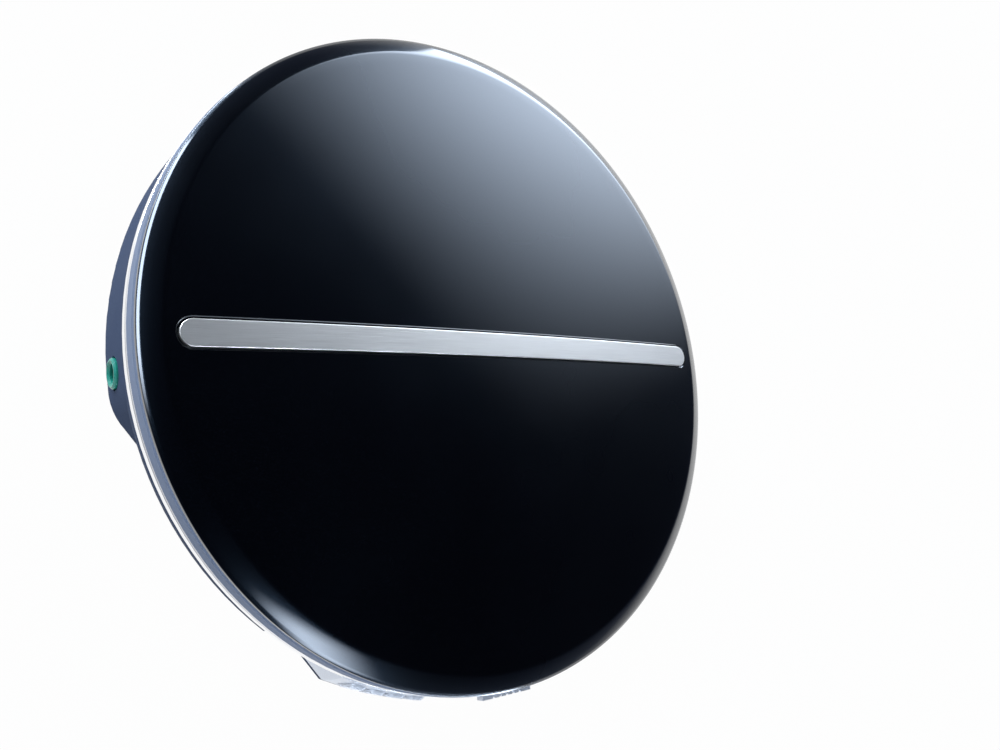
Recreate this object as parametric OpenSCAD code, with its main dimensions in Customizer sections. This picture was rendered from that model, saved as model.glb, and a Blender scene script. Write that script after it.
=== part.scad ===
// Portable disc player: a round lid over a ring-shaped casing, with a drive mechanism,
// a battery bay and a control fascia. Millimetres. +Z is up through the lid, -Y is the
// front with the keys, +X is the right-hand side. The origin is on the spindle axis, at
// the height that the feet stand on.

/* [Casing] */
// Diameter of the silver casing ring
casing_d = 139.4; // [137:0.2:146]
// Height of the silver ring above the bright band
ring_h = 3.8; // [3.6:0.1:5]
// Height of the bright band round the waist
band_h = 2.1; // [1.5:0.1:3]
// Depth of the lower casing, from its underside to the bright band
lower_h = 14.6; // [14.4:0.1:17]
// Wall of the casing mouldings
wall = 1.5; // [1.2:0.1:1.8]
// Radius along the bottom edge of the lower casing
edge_r = 3.7; // [2.5:0.1:4.5]
// Thickness of the thin rim that overhangs the lower casing
rim_h = 3.8; // [3.4:0.1:5]
// Radius of the heel where each side runs into a cut-away corner
heel_r = 12; // [10:0.5:16]
// How far the two cut-away front corners stand in from the ring
corner_in = 7.3; // [7:0.1:8]
// Angle of the cut-away front corners, from the side
corner_a = 34.8; // [34:0.2:36]
// How far the control front stands out from the ring
front_out = 0.8; // [0.6:0.1:1.2]
// Height of the feet
foot_h = 0.8; // [0.5:0.1:1.5]
// Diameter of a foot
foot_d = 8; // [6:0.5:9]

/* [Lid] */
// Gap between the lid's edge and the casing ring
lid_gap = 0.3; // [0.2:0.05:0.5]
// Height of the lid's upright edge
lid_edge_h = 1.0; // [0.8:0.1:1.5]
// Rise of the crown above the lid's edge
crown_h = 4.34; // [4.1:0.05:6]
// Radius of the crown's curve
crown_r = 860; // [700:10:1400]
// Width of the bevel round the crown
bevel_w = 4; // [3:0.1:5]
// Wall of the lid cover
lid_wall = 1.4; // [1.1:0.1:1.6]
// Thickness of the lid liner
liner_t = 0.9; // [0.7:0.1:1.1]
// Length of the metal strip across the lid
strip_l = 126.1; // [100:1:127]
// Width of the metal strip
strip_w = 4.9; // [3:0.1:9]
// How far the strip stands proud of the lid
strip_proud = 0.25; // [0.1:0.05:0.5]
// Depth of the strip's groove
strip_groove = 0.6; // [0.4:0.05:0.8]
// Gap round the strip
strip_gap = 0.7; // [0.3:0.1:1]

/* [Disc drive] */
// Diameter of the disc
disc_d = 120; // [118:1:121]
// Room round the disc
disc_room = 1.5; // [1:0.1:1.6]
// Diameter of the disc's centre hole
disc_hole_d = 15; // [14:0.1:16]
// Height of the turntable's face above the tray floor
turntable_h = 1.7; // [1.5:0.1:2.2]
// Diameter of the turntable
turntable_d = 28; // [24:0.5:29]
// Diameter of the spindle motor
spindle_motor_d = 23; // [18:0.5:24]
// Diameter of the guide rods
rod_d = 2; // [1.6:0.1:2.4]
// Travel of the pickup
pickup_travel = 34; // [28:1:34]
// Lens position with the pickup at its inner stop, from the spindle
lens_in_x = 24; // [23:0.5:24.5]
// Module of the rack and its pinion
rack_mod = 0.5; // [0.4:0.05:0.5]
// Teeth of the rack pinion
pinion_teeth = 12; // [11:1:13]
// Module of the motor gears
drive_mod = 0.4; // [0.3:0.05:0.4]
// Teeth of the drive wheel
wheel_teeth = 40; // [36:1:42]
// Teeth of the motor pinion
motor_teeth = 10; // [9:1:11]

/* [Controls and sockets] */
// Diameter of the plug that the headphone socket takes
plug_d = 3.5; // [2.5:0.1:4]
// Depth of the headphone socket
jack_depth = 14; // [12:0.5:15]
// Outer diameter of the green collar
collar_d = 5.6; // [5.2:0.1:6.4]
// Height of the sockets and keys above the underside
control_h = 7.8; // [7.2:0.1:8.6]
// Travel of a key
key_travel = 0.5; // [0.3:0.05:0.8]
// How far the keys stand proud
key_proud = 0.3; // [0.2:0.05:0.6]
// Travel of the lid catch
catch_travel = 3; // [2.5:0.1:3.2]
// Travel of the hold switch
hold_travel = 3; // [2:0.5:3.5]
// Width of the display window
display_w = 22; // [18:0.5:23]
// Running gap between the moving pieces and the casing
gap = 0.2; // [0.15:0.05:0.3]

/* [Battery bay] */
// Diameter of a battery cell
cell_d = 14.5; // [14:0.1:14.6]
// Length of a battery cell
cell_l = 50.5; // [48:0.5:51]

/* [Hidden] */
$fn = 96;

// Heights
shell_z = foot_h;
floor_z = shell_z + wall;
band_z = shell_z + lower_h;
ring_z = band_z + band_h;
shelf_z = ring_z + ring_h;
lid_z = shelf_z + lid_gap;
rim_z = lid_z + lid_edge_h;
crown_z = rim_z + crown_h;
ledge_z = band_z - rim_h;
flange_t = 1;
seat_z = shelf_z - flange_t;
tray_z = seat_z - turntable_h;
tray_under = tray_z - wall;
control_z = shell_z + control_h;

// Radii of the casing
ring_r = casing_d / 2;
band_r = ring_r + 0.1;
lower_r = ring_r - 0.05;
lid_r = ring_r - 0.2;
well_r = disc_d / 2 + disc_room;
tray_r = well_r + wall;
front_r = ring_r + front_out;
fit = 0.05;
band_t = 2.6;
rim_in = lower_r - wall - 0.3;
rim_out = lower_r + 0.07;

// Outline of the lower casing: two flat cut-away corners that end in rounded heels. The
// heels stand a hair proud of the faces between them, so that each meets them in a crossing.
corner_turn = 180 + corner_a;
corner_d = lower_r - corner_in;
heel_proud = 0.04;
heel_at = lower_r - heel_r + heel_proud;
heel_turn = acos((corner_d - heel_r) / heel_at);
function heel_centre(side) = heel_at * [cos(heel_turn), side * sin(heel_turn)];

// Hinge of the lid, near the back edge
hinge_y = lid_r - 1.9;
hinge_z = lid_z - 1.8;
pin_r = 0.8;
knuckle_r = 1.7;
block_w = 16.2;
knuckle_w = 5.4;
notch_w = block_w + 2 * (knuckle_w + 2 * gap);

// Battery bay
cell_pitch = cell_d + 0.1;
contact_room = 3.3;
bay_l = cell_l + 2 * contact_room;
bay_w = 2 * cell_pitch + 0.7;
bay_y = 31;
bay_t = 1.2;
cell_z = floor_z + 0.15 + cell_d / 2;
door_l = cell_l + 2.5;
door_y = bay_y + 2.2;
door_w = bay_w - 5;
door_pin_r = 0.55;
door_barrel_r = 1.1;
door_axis_z = shell_z + door_barrel_r;

// Screws from the underside into the bosses of the tray: angle and distance out
screws = [[50, 60], [130, 60], [192, 59.5], [-35, 56], [-110, 55], [-70, 55]];
screw_r = 0.9;
screw_head_r = 2.1;
sleeve_r = 3.2;
sleeve_h = 3.2;
boss_r = 2.5;
foot_at = [[42, 38], [-42, 38], [38, -38], [-38, -38]];
foot_sink = 0.5;

// Ring-shaped dip in the tray that keeps the data side of the disc clear
dip = 0.4;
dip_in = 20.5;
dip_out = 47;

// Drive mechanism
chassis_t = 1.2;
chassis_z = floor_z + 4.7;
deck_z = chassis_z + chassis_t;
rod_z = deck_z + 4.4;
rod_front_y = -14;
rod_rear_y = 16;
rod_in_x = 12.2;
rod_front_end = 60.6;
rod_rear_end = 64.4;
rods = [[rod_front_y, rod_front_end], [rod_rear_y, rod_rear_end]];
spindle_r = 0.75;
pinion_pitch = rack_mod * pinion_teeth / 2;
wheel_pitch = drive_mod * wheel_teeth / 2;
motor_pitch = drive_mod * motor_teeth / 2;
wheel_x = 23;
wheel_y = -22;
mesh_r = wheel_pitch + motor_pitch + 0.06;
mesh_turn = 210;
sled_motor_x = wheel_x + mesh_r * cos(mesh_turn);
sled_motor_y = wheel_y + mesh_r * sin(mesh_turn);
sled_motor_r = 5.8;
wheel_z = chassis_z - 2;
wheel_t = 1.3;
pinion_z = deck_z + 1.7;
pinion_t = 2.4;
arbor_r = 0.7;
rack_y = wheel_y + pinion_pitch + 0.05;
rack_out = wheel_x - lens_in_x + 1.3;
rack_in = wheel_x - lens_in_x - pickup_travel - 1.3;
lens_top_z = tray_z + 0.3;
carriage_z = deck_z + 2.2;
carriage_h = tray_under - 0.9 - carriage_z;
carriage_in = spindle_motor_d / 2 + 0.8;
carriage_out = 4.2;
plate_back = 19;
// Rectangles that make up the chassis plate: corner, then size
plate_blocks = [[-16, -18, rod_front_end + 15, plate_back + 18], [0, -4, rod_rear_end, plate_back + 4],
                [-16, -24, 7, 36], [43, -24, 8, 8], [51, 14, 8, 9.5]];
window_x = 14;
window_l = 46;
dampers = [[-12, 16], [-13, -24.5], [55, 23.5], [47, -24.2]];
damper_r = 3.4;
damper_h = 4.4;
damper_z = chassis_z - 1.6;
damper_screw_r = 1.1;

rack_pitch = PI * rack_mod;
first_gap = wheel_x - lens_in_x - rack_in;
rack_phase = 90 + (first_gap / rack_pitch - floor(first_gap / rack_pitch)) * 360 / pinion_teeth;

// Front with its keys: name order is stop, back, play, next, quieter, louder, mode
key_angles = [-24.3, -20.7, -17.1, -13.5, 13.5, 17.1, 20.7];
hold_angle = 24.5;
key_w = 3.7;
key_h = 6.4;
board_r = 61.6;
board_t = 0.8;
board_face = board_r + board_t;
key_board_h = band_z - 0.9 - floor_z;
slider_h = 3;
switch_h = 2;
switch_w = 3.4;
sill_z = shell_z + edge_r + 0.1;
sill_proud = 0.1;
front_end = -(ring_r - 18.7);
fascia_z = sill_z + fit;
fascia_h = band_z - 0.1 - fascia_z;
shut_line = 0.35;
key_z = fascia_z + (fascia_h + shut_line) / 2;
bulge_r = 90;
bulge_z = sill_z;
display_h = 7.6;

// Sockets
jack_angle = 183.2;
jack_back = ring_r - 0.4 - jack_depth;
collar_l = 2.95;
collar_room = 0.52;
collar_back = ring_r - 2.4;
power_angle = 33;
power_hole_d = 4.2;
power_depth = 9;
power_back = ring_r - 0.8 - power_depth;

// Disc hub
hub_r = (disc_hole_d - 0.2) / 2;
hub_h = 1.9;
ball_r = 1;
ball_proud = 0.05;

// Main board
board_z = floor_z + 1.7;
main_board_t = 1;
board_top = board_z + main_board_t;
board_posts = [[-54, 8], [-30, 4], [-24, -33], [28, -46]];
board_outline = [[-56, -14], [-63, -9], [-63, 2], [-60, 4], [-60, 24], [-44, 28], [-18.5, 28],
                 [-18.5, -37], [34, -37], [34, -50], [-34, -50], [-45, -36]];

// Lid catch, hook and lid switch
catch_w = 12;
catch_h = 2;
catch_z = ring_z + 0.7;
hook_w = 5;
hook_y = -(ring_r - 5.5);
catch_bar_y = -(ring_r - 2.8);
switch_angle = 165;
switch_at = 65;
key_back = board_face + switch_h + 0.85 + key_travel + 0.2;
carriage_in_l = lens_in_x - carriage_in;

// ---- shared shapes ----

// Half of a disc's section with a rounded lower edge
module puck_section(r, h, edge) {
    square([r - edge, h]);
    translate([0, edge]) square([r, h - edge]);
    translate([r - edge, edge]) circle(r = edge);
}

// Disc with a rounded lower edge
module puck(r, h, edge) {
    rotate_extrude() puck_section(r, h, edge);
}

// Rounded bar, w wide along X and h high along Y
module slab_plan(w, h, r) {
    square([w - 2 * r, h], center = true);
    square([w, h - 2 * r], center = true);
    for (x = [-1, 1], y = [-1, 1]) translate([x * (w / 2 - r), y * (h / 2 - r)]) circle(r = r);
}

// Places children at each of both front corners, with +X pointing out through the corner
module at_corners() {
    rotate(corner_turn) children();
    mirror([1, 0, 0]) rotate(corner_turn) children();
}

// Body with the outline of the lower casing, moved in by inset, with a rounded lower edge
module cornered(inset, h, edge) {
    difference() {
        puck(lower_r - inset, h, edge);
        at_corners() translate([0, 0, -1]) linear_extrude(h + 2)
            polygon([heel_centre(-1), 3 * heel_centre(-1), 3 * heel_centre(1), heel_centre(1)]);
    }
    at_corners() {
        for (side = [-1, 1]) translate(heel_centre(side)) puck(heel_r - inset, h, edge);
        rotate([90, 0, 0]) linear_extrude(2 * heel_centre(1)[1], center = true)
            translate([heel_centre(1)[0], 0]) {
                puck_section(heel_r - inset - heel_proud, h, edge);
                translate([-1, 0]) square([2, h]);
            }
    }
}

// Body of the sill under the control front, moved in by inset, with a rounded lower edge
module sill_body(inset, h, edge) {
    intersection() {
        puck(front_r - inset, h, edge);
        rotate(corner_turn) corner_slab(corner_d + sill_proud - inset, h, edge);
        mirror([1, 0, 0]) rotate(corner_turn) corner_slab(corner_d + sill_proud - inset, h, edge);
        in_front(front_end + inset, 0);
    }
}

// Slab up to the distance d from the spindle along X, with a rounded lower edge
module corner_slab(d, h, edge) {
    rotate([90, 0, 0]) linear_extrude(4 * ring_r, center = true)
        translate([d - 2 * ring_r, 0]) puck_section(2 * ring_r, h, edge);
}

// Plan of the control front, moved in by inset
module front_plan(inset) {
    difference() {
        circle(r = front_r - inset, $fn = 160);
        at_corners() translate([corner_d + sill_proud - inset, -ring_r]) square([ring_r, 2 * ring_r]);
    }
}

// Block that holds what lies in front of the line y
module in_front(y, z) {
    translate([-ring_r, -2 * ring_r, z]) cube([2 * ring_r, 2 * ring_r + y, 2 * ring_r]);
}

// Section of the slightly bulging outer face of the control front, moved in by inset
module front_bulge(inset) {
    translate([front_r - bulge_r, bulge_z]) circle(r = bulge_r - inset, $fn = 480);
}

// Places children on the front at an angle from its middle, +Z pointing outwards and +Y up
module on_front(angle, r, z) {
    rotate(angle) translate([0, -r, z]) rotate([90, 0, 0]) children();
}

// Places children on the side at a compass angle, +Z pointing outwards and +Y up
module on_side(angle, r, z) {
    rotate(angle + 90) on_front(0, r, z) children();
}

// Spur gear with straight-flanked teeth
module gear(mod, teeth, h, bore_r) {
    root = mod * (teeth - 2.5) / 2;
    tip = mod * (teeth + 2) / 2;
    foot_w = mod * 1.9;
    tip_w = mod * 0.75;
    difference() {
        linear_extrude(h) {
            circle(r = root);
            for (i = [0 : teeth - 1]) rotate(i * 360 / teeth)
                polygon([[root - mod, -foot_w / 2], [tip, -tip_w / 2],
                         [tip, tip_w / 2], [root - mod, foot_w / 2]]);
        }
        translate([0, 0, -1]) cylinder(r = bore_r, h = h + 2);
    }
}

// Wire swept along a helix whose radius runs from r0 to r1, from z = 0 to length
module coil(r0, r1, length, turns, wire_d) {
    sides = 6;
    steps = turns * 14;
    function centre(t) = let (r = r0 + (r1 - r0) * t, a = 360 * turns * t)
        [r * cos(a), r * sin(a), wire_d / 2 + (length - wire_d) * t];
    function ring(t) = let (a = 360 * turns * t) [for (k = [0 : sides - 1])
        centre(t) + wire_d / 2 * (cos(k * 360 / sides) * [cos(a), sin(a), 0]
                                  + sin(k * 360 / sides) * [0, 0, 1])];
    points = [for (i = [0 : steps]) each ring(i / steps)];
    sheet = [for (i = [0 : steps - 1], k = [0 : sides - 1])
        let (a = i * sides + k, b = i * sides + (k + 1) % sides)
        [a, a + sides, b + sides, b]];
    polyhedron(points, concat([[for (k = [0 : sides - 1]) k]], sheet,
                              [[for (k = [sides - 1 : -1 : 0]) steps * sides + k]]));
}

// ---- casing ----

// Screw sleeves, bay walls and posts that rise from the floor of the lower casing
module casing_ribs() {
    for (s = screws) rotate(s[0]) translate([s[1], 0, floor_z - 0.1])
        cylinder(r = sleeve_r, h = sleeve_h + 0.1);
    // Walls of the battery bay, trimmed where their corners run into the outer wall
    intersection() {
        translate([0, bay_y + bay_w / 2, floor_z - 0.1])
            linear_extrude(tray_under - 0.2 - floor_z) difference() {
                square([bay_l + 2 * bay_t, bay_w + 2 * bay_t], center = true);
                square([bay_l, bay_w], center = true);
            }
        union() {
            cylinder(r = lower_r - wall / 2, h = band_z - fit);
            cylinder(r = band_r - band_t - 0.1, h = tray_z);
        }
    }
    // Posts under the chassis dampers
    for (p = dampers) translate([p[0], p[1], floor_z - 0.1])
        cylinder(r = 2.6, h = damper_z - floor_z + 0.1);
    // Posts under the main board
    for (p = board_posts) translate([p[0], p[1], floor_z - 0.1])
        cylinder(r = 1.8, h = board_z - floor_z + 0.1);
    // Ears that hold the pins of the battery door
    for (side = [-1, 1]) translate([side * (door_l / 2 + 1.6) - 1.4, door_y - 2, floor_z - 0.1])
        cube([2.8, 4, 1.6]);
}

// Outer walls of the lower casing, cut away behind the control front down to a sill
module casing_shell() {
    difference() {
        union() {
            translate([0, 0, shell_z]) difference() {
                union() {
                    cornered(0, lower_h - 0.4, edge_r);
                    sill_body(0, lower_h - 0.4, edge_r);
                }
                translate([0, 0, wall]) {
                    cornered(wall, lower_h, edge_r - wall);
                    sill_body(wall, lower_h, edge_r - wall);
                }
            }
            // Thin rim that flares out to the bright band
            rotate_extrude() polygon([[rim_in - 0.6, ledge_z], [lower_r - 0.6, ledge_z],
                                      [rim_out, band_z - 0.8], [rim_out, band_z],
                                      [rim_in, band_z], [rim_in - 0.6, band_z - 0.6]]);
            at_corners() corner_ledge();
        }
        // Room for the control front
        in_front(front_end, sill_z);
    }
}

// Lower casing: a tray with two cut-away corners, an overhanging rim and a flat floor
module lower_casing() {
    color("#4b5a78") difference() {
        union() {
            casing_shell();
            casing_ribs();
        }
        // Screw holes with sunk heads
        for (s = screws) rotate(s[0]) translate([s[1], 0, 0]) {
            cylinder(r = screw_r + 0.2, h = band_z);
            cylinder(r = screw_head_r + 0.2, h = floor_z + 0.9);
        }
        for (p = dampers) translate([p[0], p[1], floor_z + 1.2]) cylinder(r = damper_screw_r, h = 6);
        // Mouth of the battery bay, with room for the door's barrel
        translate([-door_l / 2 - gap, door_y - door_barrel_r - gap, 0])
            cube([door_l + 2 * gap, door_w + door_barrel_r + 2 * gap, floor_z + 1.1]);
        translate([0, door_y, door_axis_z]) rotate([0, 90, 0])
            cylinder(r = door_pin_r + 0.05, h = door_l + 5, center = true);
        // Holes for the sockets
        on_side(jack_angle, lower_r - 5, control_z) cylinder(d = collar_d + collar_room, h = 10);
        on_side(power_angle, lower_r - 5, control_z) cylinder(d = power_hole_d + 1.4, h = 10);
        // Seats of the feet
        for (p = foot_at) translate([p[0], p[1], 0]) cylinder(d = foot_d + 0.1, h = shell_z + foot_sink);
        // Ventilation slots under the drive
        for (i = [-2 : 2]) translate([34 + i * 4, -4, 0]) linear_extrude(floor_z + 1) slab_plan(1.6, 14, 0.7);
    }
}

// Underside of the rim where the corner is cut away, from the wall out to the rim
module corner_ledge() {
    intersection() {
        translate([0, 0, ledge_z + 0.05]) cylinder(r = lower_r - wall, h = wall);
        translate([lower_r - corner_in - wall - 0.2, -45, ledge_z]) cube([20, 90, ledge_z]);
    }
}

// Silver control front: a skin that stands on the sill, with a shut line along its foot
module front_fascia() {
    color("#c9ced8") difference() {
        intersection() {
            union() {
                translate([0, 0, fascia_z]) linear_extrude(fascia_h) front_plan(shut_line);
                translate([0, 0, fascia_z + shut_line]) linear_extrude(fascia_h - shut_line) front_plan(0);
            }
            rotate_extrude($fn = 160) intersection() {
                square([front_r, band_z]);
                front_bulge(0);
            }
            in_front(front_end - fit, 0);
        }
        translate([0, 0, fascia_z - 1]) linear_extrude(fascia_h + 2) front_plan(wall);
        on_front(0, front_r - 8, key_z) linear_extrude(12) slab_plan(display_w, display_h, 1.5);
        for (a = key_angles) on_front(a, front_r - 6, key_z)
            linear_extrude(10) slab_plan(key_w + 2 * gap, key_h + 2 * gap, 1.6);
        on_front(hold_angle, front_r - 6, key_z) linear_extrude(10)
            slab_plan(2.4 + 2 * gap, 3.4 + hold_travel + 2 * gap, 1.2);
    }
}

// Bright trim round the waist
module bright_band() {
    color("#f2f4f8") rotate_extrude($fn = 160) polygon([
        [band_r - band_t, band_z], [band_r - 0.25, band_z], [band_r, band_z + 0.3],
        [band_r, ring_z - 0.3], [band_r - 0.25, ring_z], [band_r - band_t, ring_z]]);
}

// Silver ring with the shelf that the lid closes on, and the middle block of the hinge
module casing_ring() {
    color("#97a0b6") difference() {
        union() {
            difference() {
                rotate_extrude($fn = 160) polygon([
                    [ring_r - wall, ring_z], [ring_r - 0.15, ring_z], [ring_r, ring_z + 0.3],
                    [ring_r, shelf_z - 0.35], [ring_r - 0.35, shelf_z], [tray_r + 0.1, shelf_z],
                    [tray_r + 0.1, seat_z], [ring_r - wall, seat_z]]);
                translate([-notch_w / 2, hinge_y - 3.3, ring_z - 1]) cube([notch_w, 10, ring_h + 2]);
            }
            translate([-block_w / 2, 0, 0]) rotate([90, 0, 90]) linear_extrude(block_w) {
                translate([hinge_y, hinge_z]) circle(r = shelf_z - hinge_z);
                translate([tray_r + 0.2, seat_z]) square([hinge_y - tray_r - 0.2, flange_t]);
                translate([hinge_y - 3.3, ring_z]) square([3.3, ring_h]);
                translate([hinge_y - 1, ring_z]) square([shelf_z - hinge_z + 1, hinge_z - ring_z]);
            }
        }
        translate([0, hinge_y, hinge_z]) rotate([0, 90, 0]) cylinder(r = pin_r, h = 40, center = true);
        // Slot for the lid's hook and slot for the catch
        translate([-hook_w / 2 - 0.6, hook_y - 2, seat_z - 1]) cube([hook_w + 1.2, 2.4, 4]);
        translate([-catch_w / 2 - gap, -ring_r - 2, catch_z - gap])
            cube([catch_w + catch_travel + 2 * gap, 5, catch_h + 2 * gap]);
        rotate(switch_angle) translate([switch_at, 0, seat_z - 2]) cylinder(r = 1, h = 4);
    }
}

// Disc tray: a shallow well with a keyhole for the turntable and the pickup
module disc_tray() {
    color("#3a3d44") difference() {
        union() {
            rotate_extrude($fn = 160) polygon([
                [0, tray_under], [tray_r, tray_under], [tray_r, seat_z - 1.3], [ring_r - 2.4, seat_z - 1.3],
                [ring_r - 2.4, seat_z - 0.1], [tray_r, seat_z - 0.1], [tray_r, shelf_z - 0.1],
                [well_r + 0.4, shelf_z - 0.1], [well_r, shelf_z - 0.5], [well_r, tray_z + 0.6],
                [well_r - 0.8, tray_z], [dip_out, tray_z], [dip_out - 1.5, tray_z - dip],
                [dip_in + 1.5, tray_z - dip], [dip_in, tray_z], [0, tray_z]]);
            for (s = screws) rotate(s[0]) translate([s[1], 0, shell_z + sleeve_h + wall])
                cylinder(r = boss_r, h = tray_under + 0.5 - shell_z - sleeve_h - wall);
        }
        for (s = screws) rotate(s[0]) translate([s[1], 0, shell_z]) cylinder(r = screw_r, h = 13);
        // Keyhole
        translate([0, 0, tray_under - 1]) cylinder(d = turntable_d + 2, h = 5);
        translate([0, -9.6, tray_under - 1]) cube([carriage_out + lens_in_x + pickup_travel + 1, 19.2, 5]);
        // Rear notch for the hinge, slot for the hook
        translate([-notch_w / 2 - 0.2, hinge_y - 3.4, seat_z - 2]) cube([notch_w + 0.4, 10, 4]);
        translate([-14, -ring_r, seat_z - 2]) cube([28, ring_r + hook_y + 0.4, 4]);
        rotate(switch_angle) translate([switch_at, 0, seat_z - 2]) cylinder(r = 1, h = 4);
    }
}

module rubber_feet() {
    color("#1c1d20") for (p = foot_at) translate([p[0], p[1], 0]) rotate_extrude() polygon([
        [0, 0], [foot_d / 2 - 0.4, 0], [foot_d / 2, 0.4], [foot_d / 2, shell_z + foot_sink],
        [0, shell_z + foot_sink]]);
}

// Countersunk-hole pan screws with a cross slot
module screw(head_r, head_h, shank_r, shank_l) {
    difference() {
        union() {
            cylinder(r = head_r, h = head_h);
            translate([0, 0, head_h - 0.1]) cylinder(r = shank_r, h = shank_l + 0.1);
        }
        for (a = [0, 90]) rotate(a) translate([-head_r * 0.6, -0.25, -1]) cube([head_r * 1.2, 0.5, 1.7]);
    }
}

module casing_screws() {
    color("#b9bcc2") for (s = screws) rotate(s[0]) translate([s[1], 0, floor_z - 0.5])
        screw(screw_head_r, 1.4, screw_r, 9.5);
}

// ---- battery bay ----

module battery_door() {
    color("#4b5a78") difference() {
        union() {
            translate([-door_l / 2, door_y, shell_z]) cube([door_l, door_w - gap, wall]);
            translate([0, door_y, door_axis_z]) rotate([0, 90, 0]) {
                cylinder(r = door_barrel_r, h = door_l, center = true);
                cylinder(r = door_pin_r, h = door_l + 4, center = true);
            }
            // Stiffening ribs between the cells, and the snap at the free edge
            translate([-door_l / 2 + 3, bay_y + bay_w / 2 - 0.5, floor_z - 0.1]) cube([door_l - 6, 1, 1.1]);
            translate([-5, door_y + door_w - gap - 1.6, floor_z - 0.1]) cube([10, 1.2, 1.6]);
        }
        // Thumb grip
        for (i = [-3 : 3]) translate([i * 2, door_y + door_w - 6, shell_z - 1]) linear_extrude(1.4)
            slab_plan(1, 6, 0.45);
    }
}

// Sheet contacts: one bridge on the left, two single ones on the right
module battery_contacts() {
    x = bay_l / 2 - 0.4;
    color("#c7c9cc") {
        translate([-x - 0.4, bay_y + 2.5, cell_z - 4.5]) cube([0.4, bay_w - 5, 9]);
        for (i = [0, 1]) translate([x, bay_y + 2.2 + i * cell_pitch, cell_z - 4.5]) cube([0.4, cell_d - 4, 9]);
        // Raised buttons that meet the positive ends
        translate([-x, bay_y + 0.35 + cell_pitch / 2, cell_z]) rotate([0, 90, 0]) cylinder(r = 2.6, h = 1.2);
        translate([x, bay_y + 0.35 + cell_pitch * 1.5, cell_z]) rotate([0, -90, 0]) cylinder(r = 2.6, h = 1.2);
    }
}

module battery_springs() {
    x = bay_l / 2 - 0.4;
    color("#d5d7da") {
        translate([x, bay_y + 0.35 + cell_pitch / 2, cell_z]) rotate([0, -90, 0])
            coil(4.4, 2.4, contact_room - 0.5, 3, 0.7);
        translate([-x, bay_y + 0.35 + cell_pitch * 1.5, cell_z]) rotate([0, 90, 0])
            coil(4.4, 2.4, contact_room - 0.5, 3, 0.7);
    }
}

// ---- electronics ----

module main_board() {
    color("#1f5a3a") translate([0, 0, board_z]) difference() {
        linear_extrude(main_board_t) polygon(board_outline);
        for (s = screws) rotate(s[0]) translate([s[1], 0, -1]) cylinder(r = sleeve_r + 0.4, h = 4);
    }
}

// Chips: place, size and number of legs along each side
chips = [[-38, 12, 12, 12, 9], [-38, -10, 9, 16, 0], [-27, -27, 8, 8, 6], [0, -43.5, 13, 8, 8]];
module board_chips() {
    color("#202226") for (c = chips) translate([c[0], c[1], board_top]) {
        translate([0, 0, 0.1]) linear_extrude(1.1) difference() {
            slab_plan(c[2], c[3], 0.4);
            translate([-c[2] / 2 + 1.2, c[3] / 2 - 1.2]) circle(r = 0.4);
        }
        pitch = c[2] / (c[4] + 1);
        for (i = [1 : 1 : c[4]], side = [-1, 1])
            translate([-c[2] / 2 + i * pitch - pitch / 4, side * (c[3] / 2 + 0.4) - 0.5, 0])
                cube([pitch / 2, 1, 0.4]);
        if (c[4] == 0) translate([-c[2] / 2 - 0.9, -c[3] / 2 + 0.8, 0]) cube([c[2] + 1.8, c[3] - 1.6, 0.4]);
    }
}

capacitors = [[-52, 19, 2.5], [-52, 11, 2], [-25, 22, 2.5], [-50, -20, 2], [24, -43, 2], [-20, -43, 2.5]];
module board_capacitors() {
    color("#26324e") for (c = capacitors) translate([c[0], c[1], board_top]) rotate_extrude()
        polygon([[0, 0], [c[2], 0], [c[2], 1], [c[2] - 0.25, 1.3], [c[2], 1.6], [c[2], 5.6],
                 [c[2] - 0.3, 6], [0, 6]]);
}

// Quartz crystal, ribbon sockets for the drive and the front, and the battery leads' socket
module board_connectors() {
    color("#e6e2d6") {
        translate([-24, 0, board_top]) ribbon_socket(14);
        translate([14, -43.5, board_top]) rotate(90) ribbon_socket(10);
        translate([-32, 24.5, board_top]) difference() {
            translate([-4, -2.2, 0]) cube([8, 4.4, 4.5]);
            translate([-3.2, -1.4, 1]) cube([6.4, 2.8, 4]);
        }
        translate([-46, 1, board_top]) linear_extrude(3) slab_plan(4, 9, 1.9);
    }
}

module ribbon_socket(l) {
    difference() {
        translate([-1.5, -l / 2, 0]) cube([3, l, 2.2]);
        translate([-0.3, -l / 2 + 0.8, 1]) cube([0.6, l - 1.6, 2]);
    }
}

// Headphone socket: a block on the board with a round nose in the casing's hole
module headphone_socket() {
    color("#202226") on_side(jack_angle, 0, control_z) difference() {
        union() {
            translate([-4, board_top - control_z, jack_back - 1.8])
                cube([8, 7.2, jack_depth - 1.2]);
            translate([0, 0, ring_r - 4]) cylinder(r = collar_d / 2 - 0.6, h = 1.6);
        }
        translate([0, 0, jack_back]) cylinder(d = plug_d + 0.1, h = jack_depth + 2);
    }
}

// Green collar that marks the headphone socket
module headphone_collar() {
    color("#2f9a80") on_side(jack_angle, 0, control_z) translate([0, 0, collar_back]) rotate_extrude() {
        difference() {
            translate([plug_d / 2 + 0.05, 0]) square([(collar_d - plug_d) / 2 - 0.05, collar_l]);
            translate([plug_d / 2 + 0.05, collar_l]) rotate(45) square(0.6, center = true);
            translate([collar_d / 2, collar_l]) rotate(45) square(0.5, center = true);
        }
    }
}

// Power socket with its centre pin
module power_socket() {
    color("#202226") on_side(power_angle, 0, control_z) {
        difference() {
            union() {
                translate([-4.4, floor_z - control_z, power_back - 2.2])
                    cube([8.8, control_h + 3, lower_r - edge_r - 0.3 - (power_back - 2.2)]);
                translate([0, 0, ring_r - 5]) cylinder(d = power_hole_d + 1.2, h = 4.2);
            }
            translate([0, 0, power_back]) cylinder(d = power_hole_d, h = power_depth + 2);
        }
        translate([0, 0, power_back - 0.2]) cylinder(d = 1.7, h = power_depth - 1);
    }
}

// ---- front controls ----

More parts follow.
